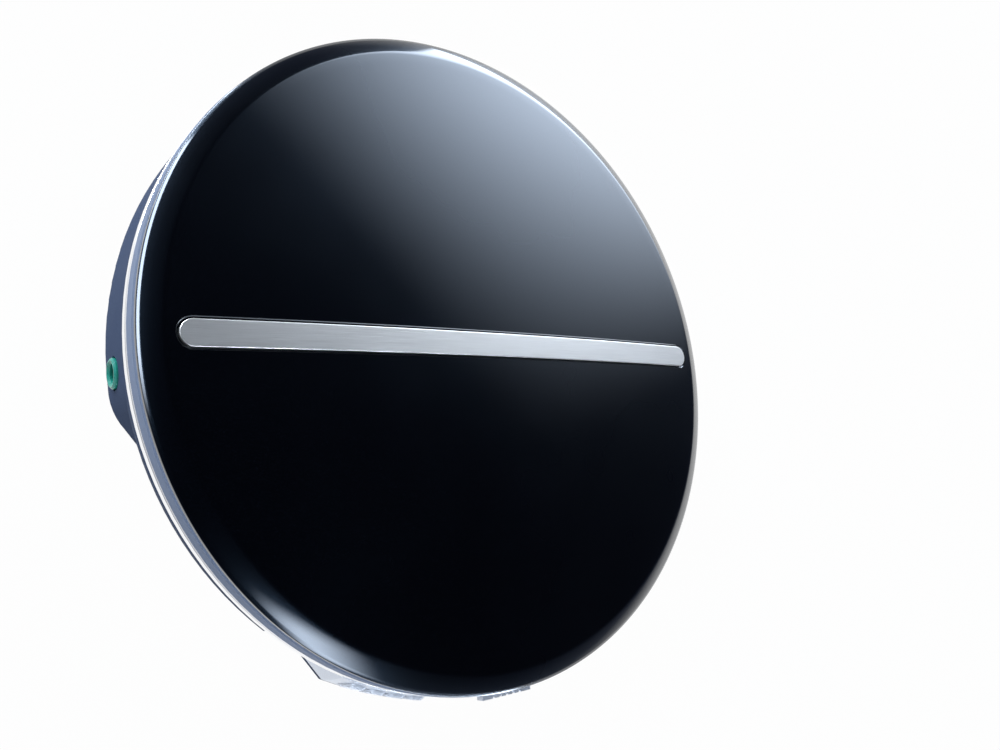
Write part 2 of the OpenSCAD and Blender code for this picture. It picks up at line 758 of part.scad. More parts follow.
// Thin board bent round behind the keys
module key_board() {
    half = hold_angle + 2.5;
    color("#1f5a3a") translate([0, 0, floor_z + 0.2]) linear_extrude(key_board_h) difference() {
        intersection() {
            circle(r = board_face);
            polygon([[0, 0], for (a = [-half, 0, half]) 80 * [sin(a), -cos(a)]]);
        }
        circle(r = board_r);
    }
}

module key_switches() {
    color("#d8d9dc") for (a = key_angles) on_front(a, board_face, key_z) {
        linear_extrude(switch_h) slab_plan(switch_w, switch_w, 0.4);
        translate([0, 0, switch_h - 0.1]) cylinder(r = 1.1, h = 1);
    }
    // Sliding contact block behind the hold switch
    color("#d8d9dc") on_front(hold_angle, board_face, key_z)
        linear_extrude(slider_h) slab_plan(3.4, 8, 0.4);
}

// One key: a cap with softened edges, a flange that holds it in and a stem to its switch
module key(angle) {
    inner = front_r - wall;
    on_front(angle, 0, key_z) {
        translate([0, 0, inner - 0.5]) linear_extrude(wall + key_proud + 0.15) slab_plan(key_w, key_h, 1.4);
        translate([0, 0, front_r + key_proud - 0.4]) linear_extrude(0.4)
            slab_plan(key_w - 0.7, key_h - 0.7, 1.1);
        translate([0, 0, inner - 1.3]) linear_extrude(0.9) slab_plan(key_w, key_h + 2, 1.2);
        translate([0, 0, key_back]) cylinder(r = 1.1, h = inner - 1.2 - key_back);
    }
}
module stop_key() { color("#d5d8df") key(key_angles[0]); }
module back_key() { color("#d5d8df") key(key_angles[1]); }
module play_key() { color("#d5d8df") key(key_angles[2]); }
module next_key() { color("#d5d8df") key(key_angles[3]); }
module quieter_key() { color("#d5d8df") key(key_angles[4]); }
module louder_key() { color("#d5d8df") key(key_angles[5]); }
module mode_key() { color("#d5d8df") key(key_angles[6]); }

// Hold switch: a ribbed thumb piece that slides up and down in its slot
module hold_switch() {
    inner = front_r - wall;
    color("#5a5f6b") on_front(hold_angle, 0, key_z - hold_travel / 2) {
        difference() {
            translate([0, 0, inner - 0.7]) linear_extrude(wall + 1.2) slab_plan(2.4, 3.4, 0.6);
            for (y = [-1, 0, 1]) translate([-2, y - 0.2, front_r + 0.2]) cube([4, 0.4, 1]);
        }
        translate([0, 0, inner - 1.4]) linear_extrude(0.8) slab_plan(4, 5, 0.8);
        translate([0, 0, board_face + slider_h + 0.15])
            cylinder(r = 0.8, h = inner - 1.45 - board_face - slider_h);
    }
}

// Clear window of the display, curved with the front
module display_window() {
    color("#20242c") intersection() {
        on_front(0, front_r - 8, key_z) linear_extrude(12)
            slab_plan(display_w - 2 * fit, display_h - 2 * fit, 1.45);
        rotate_extrude($fn = 160) intersection() {
            difference() {
                front_bulge(fit);
                front_bulge(wall - 0.1);
            }
            translate([front_r - 10, 0]) square([10, band_z]);
        }
    }
}

// Liquid-crystal panel with its frame, which stands on the front board
module display_module() {
    y = board_face + fit;
    color("#8c9688") on_front(0, y, key_z) {
        difference() {
            linear_extrude(4.4) slab_plan(display_w + 2, display_h + 1.4, 0.6);
            translate([0, 0, 3.6]) linear_extrude(2) slab_plan(display_w - 2, display_h - 1.6, 0.4);
            translate([0, 0, -1]) linear_extrude(2.2) slab_plan(display_w - 3, display_h - 3, 0.4);
        }
    }
}

// ---- lid catch and lid switch ----

// Catch: a ribbed thumb piece outside, a bar inside and a nose beside the lid's hook
module lid_catch() {
    color("#97a0b6") translate([0, 0, catch_z]) {
        difference() {
            translate([-catch_w / 2, -ring_r - 0.8, 0]) cube([catch_w, 4, catch_h]);
            for (i = [-2 : 2]) translate([i * 1.6 - 0.3, -ring_r - 1.8, -1]) cube([0.6, 1.4, 5]);
        }
        translate([-catch_w / 2 - 2, catch_bar_y, -0.3]) cube([catch_w + 4, 0.9, catch_h + 0.2]);
        translate([hook_w / 2 + 1, catch_bar_y + 0.8, -0.3]) cube([3, 1.6, 1.6]);
    }
}

module lid_switch() {
    color("#202226") rotate(switch_angle) translate([switch_at, 0, 0]) {
        translate([-2, -3, seat_z - 1.3 - 5]) cube([4, 6, 5]);
        translate([0, 0, seat_z - 1.5]) cylinder(r = 0.8, h = lid_z - 0.1 - seat_z + 1.5);
    }
}

// ---- drive ----

// Pressed chassis plate with holders for the guide rods
module drive_chassis() {
    color("#a9adb5") difference() {
        union() {
            translate([0, 0, chassis_z]) linear_extrude(chassis_t) difference() {
                union() {
                    for (b = plate_blocks) translate([b[0], b[1]]) square([b[2], b[3]]);
                    for (p = dampers) translate(p) circle(r = damper_r + 1.3);
                    translate([wheel_x, wheel_y]) circle(r = 5);
                    translate([sled_motor_x, sled_motor_y]) circle(r = sled_motor_r + 2);
                }
                for (p = dampers) translate(p) circle(r = 2.1);
                translate([window_x, -9]) square([window_l, 19]);
                circle(r = 3);
                translate([sled_motor_x, sled_motor_y]) circle(r = 1.6);
            }
            // Bearing of the drive wheel
            translate([wheel_x, wheel_y, chassis_z]) cylinder(r = 1.8, h = chassis_t + 0.4);
            // Rod holders
            for (r = rods, x = [r[1] - 2, rod_in_x - 2.4]) translate([x, r[0] - 2.2, chassis_z])
                cube([2, 4.4, rod_z + 2 - chassis_z]);
            // Stiffening edge along the back
            translate([window_x, plate_back - 1.4, chassis_z]) cube([36, 1.4, 3]);
        }
        translate([wheel_x, wheel_y, 0]) cylinder(r = arbor_r + 0.04, h = 40);
        for (r = rods) guide_rod(r);
    }
}

// Rod given by its place and its outer end
module guide_rod(rod) {
    translate([rod_in_x - 2.4, rod[0], rod_z]) rotate([0, 90, 0])
        cylinder(d = rod_d, h = rod[1] - rod_in_x + 2.4);
}
module guide_rod_front() { color("#d5d7da") guide_rod(rods[0]); }
module guide_rod_rear() { color("#d5d7da") guide_rod(rods[1]); }

// Rubber dampers, each with a groove that grips the chassis plate
module chassis_dampers() {
    color("#1c1d20") for (p = dampers) translate([p[0], p[1], damper_z]) rotate_extrude() polygon([
        [damper_screw_r, 0], [damper_r - 0.4, 0], [damper_r, 0.4], [damper_r, 1.3], [2.0, 1.6], [2.0, 2.8],
        [damper_r, 3.1], [damper_r, 4], [damper_r - 0.4, damper_h],
        [damper_screw_r, damper_h]]);
}

module damper_screws() {
    color("#b9bcc2") for (p = dampers) translate([p[0], p[1], damper_z + damper_h + 1]) mirror([0, 0, 1])
        screw(2.6, 1, damper_screw_r, damper_h + 1.2);
}

module spindle_motor() {
    color("#b9bcc2") translate([0, 0, deck_z]) difference() {
        union() {
            cylinder(d = spindle_motor_d - 2, h = 1);
            translate([0, 0, 0.8]) cylinder(d = spindle_motor_d, h = 5.2);
            cylinder(r = 2.8, h = 6.8);
            translate([0, 0, -chassis_t]) cylinder(r = 2.95, h = chassis_t + 0.2);
        }
        translate([0, 0, -3]) cylinder(r = spindle_r + 0.04, h = 20);
        for (a = [0 : 60 : 300]) rotate(a) translate([7, 0, 4.6]) cylinder(r = 1.6, h = 3);
    }
}

// Turntable with its shaft, its disc seat and the hub that centres the disc
module turntable() {
    color("#2b2d33") difference() {
        rotate_extrude() polygon([
            [0, deck_z + 0.5], [spindle_r, deck_z + 0.5], [spindle_r, deck_z + 7.2], [3.4, deck_z + 7.2],
            [3.4, tray_z - 0.4], [turntable_d / 2 - 1, tray_z - 0.4], [turntable_d / 2, tray_z],
            [turntable_d / 2, seat_z - 0.5], [turntable_d / 2 - 1.2, seat_z - 0.5],
            [turntable_d / 2 - 1.2, seat_z - 0.8], [hub_r + 1, seat_z - 0.8], [hub_r + 1, seat_z],
            [hub_r, seat_z], [hub_r, seat_z + hub_h - 0.8], [hub_r - 1.1, seat_z + hub_h],
            [2.4, seat_z + hub_h], [2, seat_z + hub_h - 0.5], [0, seat_z + hub_h - 0.5]]);
        for (a = [0 : 120 : 240]) rotate(a) translate([hub_r - ball_r, 0, seat_z + 0.55]) {
            sphere(r = ball_r + 0.02);
            rotate([0, 90, 0]) cylinder(r = ball_r + 0.02, h = 3);
        }
        // Relief slots between the balls
        for (a = [60 : 120 : 300]) rotate(a) translate([hub_r - 2.4, 0, seat_z]) linear_extrude(4)
            slab_plan(1, 4, 0.45);
    }
}

module turntable_balls() {
    color("#e4e6ea") for (a = [0 : 120 : 240]) rotate(a) translate([hub_r - ball_r + ball_proud, 0, seat_z + 0.55])
        sphere(r = ball_r);
}

// Soft ring that grips the disc
module turntable_pad() {
    color("#1c1d20") rotate_extrude() polygon([
        [hub_r + 1.05, seat_z - 0.8], [turntable_d / 2 - 1.25, seat_z - 0.8],
        [turntable_d / 2 - 1.25, seat_z - 0.15], [turntable_d / 2 - 1.6, seat_z],
        [hub_r + 1.4, seat_z], [hub_r + 1.05, seat_z - 0.15]]);
}

module sled_motor() {
    color("#b9bcc2") translate([sled_motor_x, sled_motor_y, deck_z]) difference() {
        union() {
            rotate_extrude() puck_section(sled_motor_r, 7.6, 0.01);
            translate([0, 0, 7.5]) cylinder(r = 2, h = 0.7);
            translate([0, 0, -chassis_t]) cylinder(r = 1.55, h = chassis_t + 0.2);
        }
        translate([0, 0, -3]) cylinder(r = 0.54, h = 9);
    }
}

module motor_pinion() {
    color("#d9c27a") translate([sled_motor_x, sled_motor_y, wheel_z - 0.3]) {
        rotate(mesh_turn + 180) gear(drive_mod, motor_teeth, wheel_t + 0.6, 0.5);
        cylinder(r = 0.5, h = chassis_z - wheel_z + 5);
    }
}

// Compound wheel: the large gear below the plate and the rack pinion above it on one arbor
module drive_wheel() {
    color("#e9e6dc") translate([wheel_x, wheel_y, 0]) {
        translate([0, 0, wheel_z]) rotate(180 / wheel_teeth + mesh_turn) difference() {
            gear(drive_mod, wheel_teeth, wheel_t, arbor_r);
            for (a = [0 : 60 : 300]) rotate(a) translate([4.6, 0, -1]) cylinder(r = 1.5, h = 4);
        }
        translate([0, 0, pinion_z]) rotate(rack_phase) gear(rack_mod, pinion_teeth, pinion_t, arbor_r);
        translate([0, 0, wheel_z - 0.4]) cylinder(r = arbor_r, h = pinion_z + pinion_t + 0.3 - wheel_z + 0.4);
    }
}

// Carriage that runs on both rods and carries the lens
module pickup_carriage() {
    color("#4a4d55") translate([lens_in_x, 0, 0]) difference() {
        union() {
            translate([-carriage_in_l, -10, carriage_z]) cube([carriage_in_l + carriage_out, 20, carriage_h]);
            translate([-carriage_in_l, rod_front_y - 2.4, carriage_z]) cube([carriage_in_l, 7, carriage_h]);
            translate([-4, 8, carriage_z]) cube([6, rod_rear_y - 8 + 2.2, carriage_h]);
        }
        translate([-60, rod_front_y, rod_z]) rotate([0, 90, 0]) cylinder(d = rod_d + 0.06, h = 120);
        // The rear rod runs in an open fork
        translate([-60, rod_rear_y - rod_d / 2 - 0.03, rod_z - rod_d / 2 - 0.03])
            cube([120, 8, rod_d + 0.06]);
        // Relief round the laser block
        translate([-carriage_in_l + 1.5, -7.5, carriage_z - 1]) cube([4.5, 15, carriage_h - 0.6]);
        translate([-8.7, -12.9, carriage_z + carriage_h - 0.8]) cube([11.4, 2, 2]);
    }
}

// Rack on the carriage's front side, with teeth towards the drive wheel
module sled_rack() {
    pitch = PI * rack_mod;
    back = rod_front_y - 2.4 - rack_y;
    color("#e9e6dc") translate([lens_in_x, rack_y, pinion_z]) linear_extrude(2) {
        translate([rack_in, rack_mod * 1.25]) square([rack_out - rack_in, back - rack_mod * 1.25]);
        for (i = [0 : floor((rack_out - rack_in) / pitch) - 1])
            translate([rack_in + (i + 0.5) * pitch, 0])
                polygon([[-rack_mod * 1.05, rack_mod * 1.3], [-rack_mod * 0.38, -rack_mod],
                         [rack_mod * 0.38, -rack_mod], [rack_mod * 1.05, rack_mod * 1.3]]);
    }
}

// Lens holder: a round turret on a rectangular cover
module lens_holder() {
    color("#2b2d33") translate([lens_in_x, 0, carriage_z + carriage_h]) difference() {
        union() {
            translate([-6.5, -6.5, 0]) cube([6.5 + carriage_out - 0.2, 13, tray_under - carriage_z - carriage_h]);
            cylinder(r = 3.8, h = lens_top_z - 0.5 - carriage_z - carriage_h);
        }
        translate([0, 0, 0.5]) cylinder(r = 2.3, h = 8);
    }
}

module objective_lens() {
    color("#7fb3c9") translate([lens_in_x, 0, carriage_z + carriage_h]) difference() {
        union() {
            translate([0, 0, 0.5]) cylinder(r = 2.25, h = lens_top_z - 0.9 - carriage_z - carriage_h);
            intersection() {
                translate([0, 0, lens_top_z - carriage_z - carriage_h - 3.6]) sphere(r = 3.6);
                cylinder(r = 2.25, h = 20);
            }
        }
        translate([0, 0, -1]) cylinder(r = 3, h = 1.5);
    }
}

// ---- lid ----

function crown(r, drop) = crown_z - drop - crown_r + sqrt(crown_r * crown_r - r * r);
crown_end = lid_r - bevel_w - 0.6;
crown_steps = 24;

// Lid cover: a shallow crown, a bevelled shoulder and a groove for the strip
module lid_cover() {
    shoulder_z = crown(crown_end, 0);
    color("#0c0d10") difference() {
        rotate_extrude($fn = 200) polygon(concat(
            [for (i = [0 : crown_steps]) let (r = crown_end * i / crown_steps) [r, crown(r, 0)]],
            [[crown_end + 0.7, shoulder_z - 0.12], [crown_end + 1.3, shoulder_z - 0.35],
             [lid_r - 0.5, rim_z + 0.35], [lid_r - 0.12, rim_z + 0.05], [lid_r, rim_z - 0.25],
             [lid_r, lid_z + 0.1], [lid_r - 0.1, lid_z], [lid_r - lid_wall, lid_z],
             [lid_r - lid_wall, rim_z - 0.15], [crown_end + 0.6, crown(crown_end, lid_wall) - 0.25]],
            [for (i = [crown_steps : -1 : 0]) let (r = crown_end * i / crown_steps) [r, crown(r, lid_wall)]]));
        intersection() {
            linear_extrude(crown_z + 1) slab_plan(strip_l + 2 * strip_gap, strip_w + 2 * strip_gap,
                                                  strip_w / 2 + strip_gap - 0.01);
            rotate_extrude($fn = 200) polygon(concat(
                [for (i = [0 : crown_steps]) let (r = lid_r * i / crown_steps) [r, crown(r, strip_groove)]],
                [[lid_r, crown_z + 2], [0, crown_z + 2]]));
        }
    }
}

// Metal strip bent to the crown
module lid_strip() {
    color("#aab0bd") intersection() {
        linear_extrude(crown_z + 1) slab_plan(strip_l, strip_w, strip_w / 2 - 0.01);
        rotate_extrude($fn = 200) polygon(concat(
            [for (i = [0 : crown_steps]) let (r = lid_r * i / crown_steps) [r, crown(r, -strip_proud)]],
            [for (i = [crown_steps : -1 : 0]) let (r = lid_r * i / crown_steps) [r, crown(r, strip_groove)]]));
    }
}

// Inner liner with a rim, three pads that keep the disc down, the hook and the knuckles
module lid_liner() {
    liner_r = lid_r - lid_wall - 0.2;
    bend_r = well_r - 0.5;
    top = lid_wall + fit;
    color("#2b2d33") {
        difference() {
            rotate_extrude($fn = 160) polygon(concat(
                [for (i = [0 : crown_steps]) let (r = bend_r * i / crown_steps) [r, crown(r, top)]],
                [[crown_end - 1, crown(crown_end - 1, top)], [crown_end + 1, rim_z - 0.1],
                 [liner_r, rim_z - 0.3], [liner_r, lid_z], [well_r + 1.3, lid_z],
                 [bend_r, crown(bend_r, top + liner_t)]],
                [for (i = [crown_steps : -1 : 0]) let (r = bend_r * i / crown_steps) [r, crown(r, top + liner_t)]]));
            // Weight-saving rings pressed into the inner face
            for (r = [24, 36, 48]) rotate_extrude() translate([r, crown(r, top + liner_t) - 0.4]) square([2, 0.65]);
        }
        hook();
        for (side = [-1, 1]) knuckle(side);
    }
}

// Hook that the catch holds, standing down through the casing's slot
module hook() {
    translate([-hook_w / 2, 0, 0]) rotate([90, 0, 90]) linear_extrude(hook_w) polygon([
        [hook_y, lid_z + 0.3], [hook_y, catch_z + 0.2], [hook_y - 0.5, catch_z - 0.4],
        [hook_y - 1.3, catch_z - 0.2], [hook_y - 1.6, catch_z + 0.4], [hook_y - 1.1, catch_z + 1.2],
        [hook_y - 1.1, lid_z + 0.3]]);
}

module knuckle(side) {
    start = side < 0 ? -block_w / 2 - gap - knuckle_w : block_w / 2 + gap;
    translate([start, 0, 0]) rotate([90, 0, 90]) difference() {
        linear_extrude(knuckle_w) {
            translate([hinge_y, hinge_z]) circle(r = knuckle_r);
            polygon([[hinge_y - 3, lid_z + 0.4], [hinge_y - 1.3, lid_z + 0.4], [hinge_y - 1.1, lid_z - 0.2],
                     [hinge_y, hinge_z + knuckle_r], [hinge_y, hinge_z], [hinge_y - 1.3, hinge_z - 1],
                     [hinge_y - 3, hinge_z + 0.9]]);
        }
        translate([hinge_y, hinge_z, -1]) cylinder(r = pin_r + 0.04, h = knuckle_w + 2);
    }
}

module hinge_pin() {
    l = block_w + 2 * (gap + knuckle_w) - 0.4;
    color("#d5d7da") translate([-l / 2, hinge_y, hinge_z]) rotate([0, 90, 0]) cylinder(r = pin_r, h = l);
}

lower_casing();
front_fascia();
bright_band();
casing_ring();
disc_tray();
rubber_feet();
casing_screws();
battery_door();
battery_contacts();
battery_springs();
main_board();
board_chips();
board_capacitors();
board_connectors();
headphone_socket();
headphone_collar();
power_socket();
key_board();
key_switches();
display_window();
display_module();
stop_key();
back_key();
play_key();
next_key();
quieter_key();
louder_key();
mode_key();
hold_switch();
lid_catch();
lid_switch();
drive_chassis();
chassis_dampers();
damper_screws();
spindle_motor();
turntable();
turntable_pad();
turntable_balls();
sled_motor();
motor_pinion();
drive_wheel();
guide_rod_front();
guide_rod_rear();
pickup_carriage();
sled_rack();
lens_holder();
objective_lens();
lid_cover();
lid_strip();
lid_liner();
hinge_pin();
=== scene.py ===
import math

import bpy
from mathutils import Matrix, Quaternion, Vector


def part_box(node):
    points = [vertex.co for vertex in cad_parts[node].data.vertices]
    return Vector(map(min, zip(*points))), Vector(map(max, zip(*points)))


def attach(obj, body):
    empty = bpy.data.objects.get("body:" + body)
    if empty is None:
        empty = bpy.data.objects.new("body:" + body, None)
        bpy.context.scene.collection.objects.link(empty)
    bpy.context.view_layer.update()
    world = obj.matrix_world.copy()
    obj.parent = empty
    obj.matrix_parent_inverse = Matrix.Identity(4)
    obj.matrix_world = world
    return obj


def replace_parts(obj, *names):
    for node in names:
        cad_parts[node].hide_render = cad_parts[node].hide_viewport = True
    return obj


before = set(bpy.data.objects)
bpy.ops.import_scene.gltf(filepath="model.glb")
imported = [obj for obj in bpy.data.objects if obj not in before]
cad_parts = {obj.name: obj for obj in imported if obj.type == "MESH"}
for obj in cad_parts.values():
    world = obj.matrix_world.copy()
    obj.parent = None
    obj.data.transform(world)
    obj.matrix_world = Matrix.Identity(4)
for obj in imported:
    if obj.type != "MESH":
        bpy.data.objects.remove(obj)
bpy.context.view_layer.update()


# ---- Camera ----
# Held close above the left side of the player and aimed down across the lid, turned so that
# the metal strip runs nearly level. All places are in the frame of the part.
camera_place = Vector((-0.111057, -0.038668, 0.170388))
camera_aim = Vector((0.60904, 0.17375, -0.77388)).normalized()
camera_tilt = Vector((-0.02030, 0.97881, 0.20378)).normalized()
camera_right = camera_aim.cross(camera_tilt).normalized()
camera_up = camera_right.cross(camera_aim)
camera = bpy.data.objects.new("camera", bpy.data.cameras.new("camera"))
camera.data.lens = 32.09
camera.data.sensor_width = 36.0
camera.data.clip_start = 0.01
camera.matrix_world = Matrix.Translation(camera_place) @ Matrix(
    (camera_right, camera_up, -camera_aim)).transposed().to_4x4()
bpy.context.scene.collection.objects.link(camera)
bpy.context.scene.camera = camera


# ---- Lid cover ----
# A moulded dome sprayed with black lacquer that carries a very fine pearl flake, under a
# clear gloss coat. It has a bevelled rim and a long shallow pocket for the metal strip.
MM = 0.001

lid_low, lid_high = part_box("lid_cover")
lid_radius = lid_high.x
lid_steps = 240
lid_wall = 1.4 * MM
foot_break_in, foot_break_up = 0.1 * MM, 0.12 * MM
facet = 0.65 * MM
facet_rise = 0.45 * MM
facet_edge = lid_radius - facet
facet_top = lid_low.z + 1.35 * MM
facet_round = 0.1 * MM
bevel_rings = 4
bevel_swell = 0.05 * MM
crown_radius = 860 * MM
crown_edge = lid_radius - 4.0 * MM
crown_rings = 28
crown_round = 0.4 * MM


def deselect():
    if bpy.context.mode != "OBJECT":
        bpy.ops.object.mode_set(mode="OBJECT")
    bpy.ops.object.select_all(action="DESELECT")


def pick(piece):
    """Makes a piece the active one and the only one selected."""
    deselect()
    bpy.context.view_layer.objects.active = piece
    piece.select_set(True)


def apply_modifier(piece, kind, **settings):
    pick(piece)
    modifier = piece.modifiers.new(kind.lower(), kind)
    for key, value in settings.items():
        setattr(modifier, key, value)
    bpy.ops.object.modifier_apply(modifier=modifier.name)


def smooth(piece, degrees=30):
    pick(piece)
    bpy.ops.object.shade_smooth_by_angle(angle=math.radians(degrees))


def lathe(name, profile, steps):
    """A turned shell: a circle of the first (radius, height) drawn up through the rest."""
    deselect()
    radius, height = profile[0]
    bpy.ops.mesh.primitive_circle_add(vertices=steps, radius=radius, location=(0, 0, height))
    piece = bpy.context.object
    piece.name = name
    bpy.ops.object.transform_apply(location=True)
    bpy.ops.object.mode_set(mode="EDIT")
    bpy.ops.mesh.select_all(action="SELECT")
    for (r0, z0), (r1, z1) in zip(profile, profile[1:]):
        bpy.ops.mesh.extrude_region_move(TRANSFORM_OT_translate={"value": (0, 0, z1 - z0)})
        bpy.ops.transform.resize(value=(r1 / r0, r1 / r0, 1), center_override=(0, 0, z1))
    return piece


def soften(piece, radius, height, width, segments, reach=0.02 * MM):
    """Rounds the ring of edges at a radius and height over a width either side of it. What
    lies within reach of that radius and height is on the ring."""
    bpy.ops.object.mode_set(mode="OBJECT")
    near = [math.hypot(v.co.xy.length - radius, v.co.z - height) < reach
            for v in piece.data.vertices]
    pick(piece)
    bpy.ops.object.mode_set(mode="EDIT")
    bpy.ops.mesh.select_all(action="DESELECT")
    bpy.ops.object.mode_set(mode="OBJECT")
    for edge in piece.data.edges:
        edge.select = all(near[v] for v in edge.vertices)
    bpy.ops.object.mode_set(mode="EDIT")
    bpy.ops.mesh.select_mode(type="EDGE")
    bpy.ops.mesh.bevel(offset=width, segments=segments, profile=0.5)


def crown(x, y, drop=0.0):
    """Height of the dome over a point, less a drop below its outer face."""
    return lid_high.z - drop - crown_radius + math.sqrt(crown_radius ** 2 - x * x - y * y)


outline = [(lid_radius - foot_break_in, lid_low.z), (lid_radius, lid_low.z + foot_break_up),
           (lid_radius, facet_top - facet_rise)]
bevel_run = crown_edge - lid_radius + facet
bevel_climb = crown(crown_edge, 0) - facet_top
for i in range(bevel_rings):
    t = i / bevel_rings
    swell = 4 * t * (1 - t) * bevel_swell
    outline.append((facet_edge + bevel_run * t + swell, facet_top + bevel_climb * t + swell))
for i in range(crown_rings):
    radius = crown_edge * (1 - i / crown_rings)
    outline.append((radius, crown(radius, 0)))
lid_shell = lathe("lid_shell", outline, lid_steps)
# The last ring is drawn in to one point, the peak of the dome.
bpy.ops.mesh.extrude_region_move(TRANSFORM_OT_translate={"value": (0, 0, 0)})
bpy.ops.mesh.merge(type="CENTER")
soften(lid_shell, crown_edge, crown(crown_edge, 0), crown_round, segments=4)
soften(lid_shell, facet_edge, facet_top, facet_round, segments=3)
soften(lid_shell, lid_radius, facet_top - facet_rise, facet_round, segments=4)
bpy.ops.mesh.select_all(action="SELECT")
bpy.ops.mesh.normals_make_consistent(inside=False)
bpy.ops.object.mode_set(mode="OBJECT")
peak = min(lid_shell.data.vertices, key=lambda v: v.co.xy.length)
peak.co.z = lid_high.z
apply_modifier(lid_shell, "SOLIDIFY", thickness=lid_wall, offset=-1, use_even_offset=True)

strip_low, strip_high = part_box("lid_strip")
strip_length, strip_width = strip_high.x - strip_low.x, strip_high.y - strip_low.y
strip_clearance = 0.4 * MM
pocket_depth, pocket_chamfer = 0.6 * MM, 0.16 * MM
cutter_over, cutter_flare = 3 * MM, 0.3 * MM


def stadium(name, length, width, drop, rises, end_segments=14, slices=32):
    """A long bar with round ends that follows the dome. Its foot lies a drop below the dome,
    and each (rise, spread) lifts its outline by a rise and widens it by a spread all round."""
    nearly_half, double = 0.4999, 0.005 * MM
    deselect()
    bpy.ops.mesh.primitive_plane_add(size=1, location=(0, 0, 0))
    piece = bpy.context.object
    piece.name = name
    piece.scale = (length, width, 1)
    bpy.ops.object.transform_apply(scale=True)
    bpy.ops.object.mode_set(mode="EDIT")
    bpy.ops.mesh.select_all(action="SELECT")
    bpy.ops.mesh.bevel(offset=width * nearly_half, segments=end_segments, affect="VERTICES")
    bpy.ops.mesh.select_all(action="SELECT")
    bpy.ops.mesh.remove_doubles(threshold=double)
    for i in range(1, slices):
        bpy.ops.mesh.select_all(action="SELECT")
        bpy.ops.mesh.bisect(plane_co=(length * (i / slices - 0.5), 0, 0), plane_no=(1, 0, 0))
    bpy.ops.object.mode_set(mode="OBJECT")
    for v in piece.data.vertices:
        v.co.z = crown(v.co.x, v.co.y, drop)
    bpy.ops.object.mode_set(mode="EDIT")
    bpy.ops.mesh.select_all(action="SELECT")
    for rise, spread in rises:
        bpy.ops.mesh.extrude_region_move(TRANSFORM_OT_translate={"value": (0, 0, rise)})
        bpy.ops.transform.resize(value=(1 + 2 * spread / length, 1 + 2 * spread / width, 1),
                                 center_override=(0, 0, 0))
        length, width = length + 2 * spread, width + 2 * spread
    bpy.ops.mesh.select_all(action="SELECT")
    bpy.ops.mesh.normals_make_consistent(inside=False)
    bpy.ops.object.mode_set(mode="OBJECT")
    return piece


pocket = stadium("pocket", strip_length + 2 * strip_clearance, strip_width + 2 * strip_clearance,
                 drop=pocket_depth, rises=[(pocket_depth - pocket_chamfer, 0),
                                           (pocket_chamfer, pocket_chamfer),
                                           (cutter_over, cutter_flare)])
apply_modifier(lid_shell, "BOOLEAN", object=pocket, operation="DIFFERENCE", solver="EXACT")
bpy.data.objects.remove(pocket)
smooth(lid_shell)
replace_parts(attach(lid_shell, "lid"), "lid_cover")


class Signal:
    """What a socket puts out over a surface. Each sign in an expression adds a Math node."""

    def __init__(self, wiring, socket):
        self.wiring, self.socket = wiring, socket

    def output(self, name):
        """Another output of the same node."""
        return Signal(self.wiring, self.socket.node.outputs[name])

    def math(self, operation, other):
        return self.wiring.node("ShaderNodeMath", {"operation": operation}, {0: self, 1: other})

    def __add__(self, other):
        return self.math("ADD", other)

    def __mul__(self, other):
        return self.math("MULTIPLY", other)

    __radd__, __rmul__ = __add__, __mul__

    def kept(self, low=0.3, high=0.7):
        """This number mapped from low..high to 0..1 along a smooth step, and held there.
        Without a low and a high, it takes those between which noise mostly lies."""
        return self.wiring.node("ShaderNodeMapRange", {"interpolation_type": "SMOOTHSTEP"},
                                {"Value": self, "From Min": low, "From Max": high})


class Wiring:
    """The nodes of a material, a lamp or the room, and the one way to add a node to them."""

    def __init__(self, owner):
        owner.use_nodes = True
        self.tree = owner.node_tree

    def give(self, node, inputs):
        """Sets sockets of a node to values, and links signals to them."""
        for key, value in inputs.items():
            if isinstance(value, Signal):
                self.tree.links.new(value.socket, node.inputs[key])
            else:
                node.inputs[key].default_value = value

    def node(self, kind, settings=None, inputs=None):
        """Adds a node, sets it, and then gives its sockets their values and links. A ramp's
        stops are (position, colour), from the lowest to the highest."""
        made = self.tree.nodes.new(kind)
        settings = dict(settings or {})
        stops = settings.pop("stops", None)
        if stops:
            ramp = made.color_ramp.elements
            for position, _ in stops[1:-1]:
                ramp.new(position)
            ramp[0].position, ramp[-1].position = stops[0][0], stops[-1][0]
            for element, (_, colour) in zip(ramp, stops):
                element.color = (*colour, 1.0)
        for key, value in settings.items():
            setattr(made, key, value)
        self.give(made, inputs or {})
        return Signal(self, made.outputs[0])


